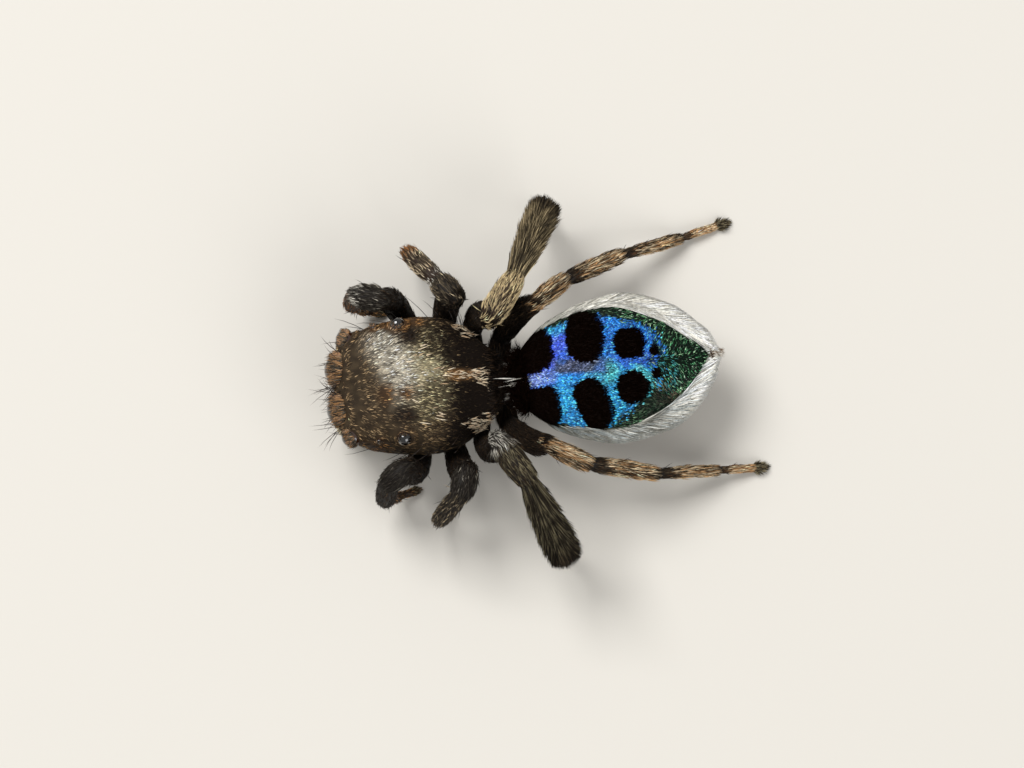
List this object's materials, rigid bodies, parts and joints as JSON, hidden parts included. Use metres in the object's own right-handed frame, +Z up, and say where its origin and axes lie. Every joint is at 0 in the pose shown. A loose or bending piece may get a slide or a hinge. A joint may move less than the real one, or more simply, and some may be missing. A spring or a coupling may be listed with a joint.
{
  "type": "peacock spider model",
  "caption": "Life-size still model of a male peacock spider with a black-spotted blue abdomen plate edged in white and brushes on its third legs, standing on all its feet",
  "frame": {"origin": "floor level, under the middle of the spider's bounding box", "axes": "+Z up; the head looks toward -Y and the abdomen points to +Y; the spider's left side is +X"},
  "size_m": [0.0049, 0.0056, 0.0018],
  "materials": {
    "dark_shell": "dark brown-black scaly skin",
    "eye": "smooth glossy black lens",
    "blue_plate": "iridescent blue scales with velvety black spots and a white fringe",
    "dark_leg": "dark hairy leg skin",
    "pale_leg": "mottled cream and brown hairy leg skin",
    "brush": "dense dark grey bristles",
    "pale_palp": "pale hairy skin"
  },
  "bodies": {
    "root": {"carapace": "dark_shell", "eye_anterior_median_right": "eye", "eye_anterior_median_left": "eye", "eye_anterior_lateral_right": "eye", "eye_anterior_lateral_left": "eye", "eye_posterior_median_right": "eye", "eye_posterior_median_left": "eye", "eye_posterior_lateral_right": "eye", "eye_posterior_lateral_left": "eye", "sternum": "dark_shell", "mouthparts": "dark_shell", "chelicera_right": "dark_shell", "chelicera_left": "dark_shell", "palp_right": "pale_palp", "palp_left": "pale_palp", "abdomen": "blue_plate", "spinnerets": "dark_shell", "pedicel": "dark_shell", "leg_1_right_femur": "dark_leg", "leg_1_right_patella": "dark_leg", "leg_1_right_tibia": "dark_leg", "leg_1_right_metatarsus": "dark_leg", "leg_1_right_tarsus": "dark_leg", "leg_1_left_femur": "dark_leg", "leg_1_left_patella": "dark_leg", "leg_1_left_tibia": "dark_leg", "leg_1_left_metatarsus": "dark_leg", "leg_1_left_tarsus": "dark_leg", "leg_2_right_femur": "dark_leg", "leg_2_right_patella": "dark_leg", "leg_2_right_tibia": "dark_leg", "leg_2_right_metatarsus": "dark_leg", "leg_2_right_tarsus": "dark_leg", "leg_2_left_femur": "dark_leg", "leg_2_left_patella": "dark_leg", "leg_2_left_tibia": "dark_leg", "leg_2_left_metatarsus": "dark_leg", "leg_2_left_tarsus": "dark_leg", "leg_3_right_femur": "dark_leg", "leg_3_right_patella": "dark_leg", "leg_3_right_tibia": "brush", "leg_3_right_metatarsus": "dark_leg", "leg_3_right_tarsus": "dark_leg", "leg_3_left_femur": "dark_leg", "leg_3_left_patella": "dark_leg", "leg_3_left_tibia": "brush", "leg_3_left_metatarsus": "dark_leg", "leg_3_left_tarsus": "dark_leg", "leg_4_right_femur": "dark_leg", "leg_4_right_patella": "pale_leg", "leg_4_right_tibia": "pale_leg", "leg_4_right_metatarsus": "pale_leg", "leg_4_right_tarsus": "pale_leg", "leg_4_left_femur": "dark_leg", "leg_4_left_patella": "pale_leg", "leg_4_left_tibia": "pale_leg", "leg_4_left_metatarsus": "pale_leg", "leg_4_left_tarsus": "pale_leg"}
  },
  "joints": []
}
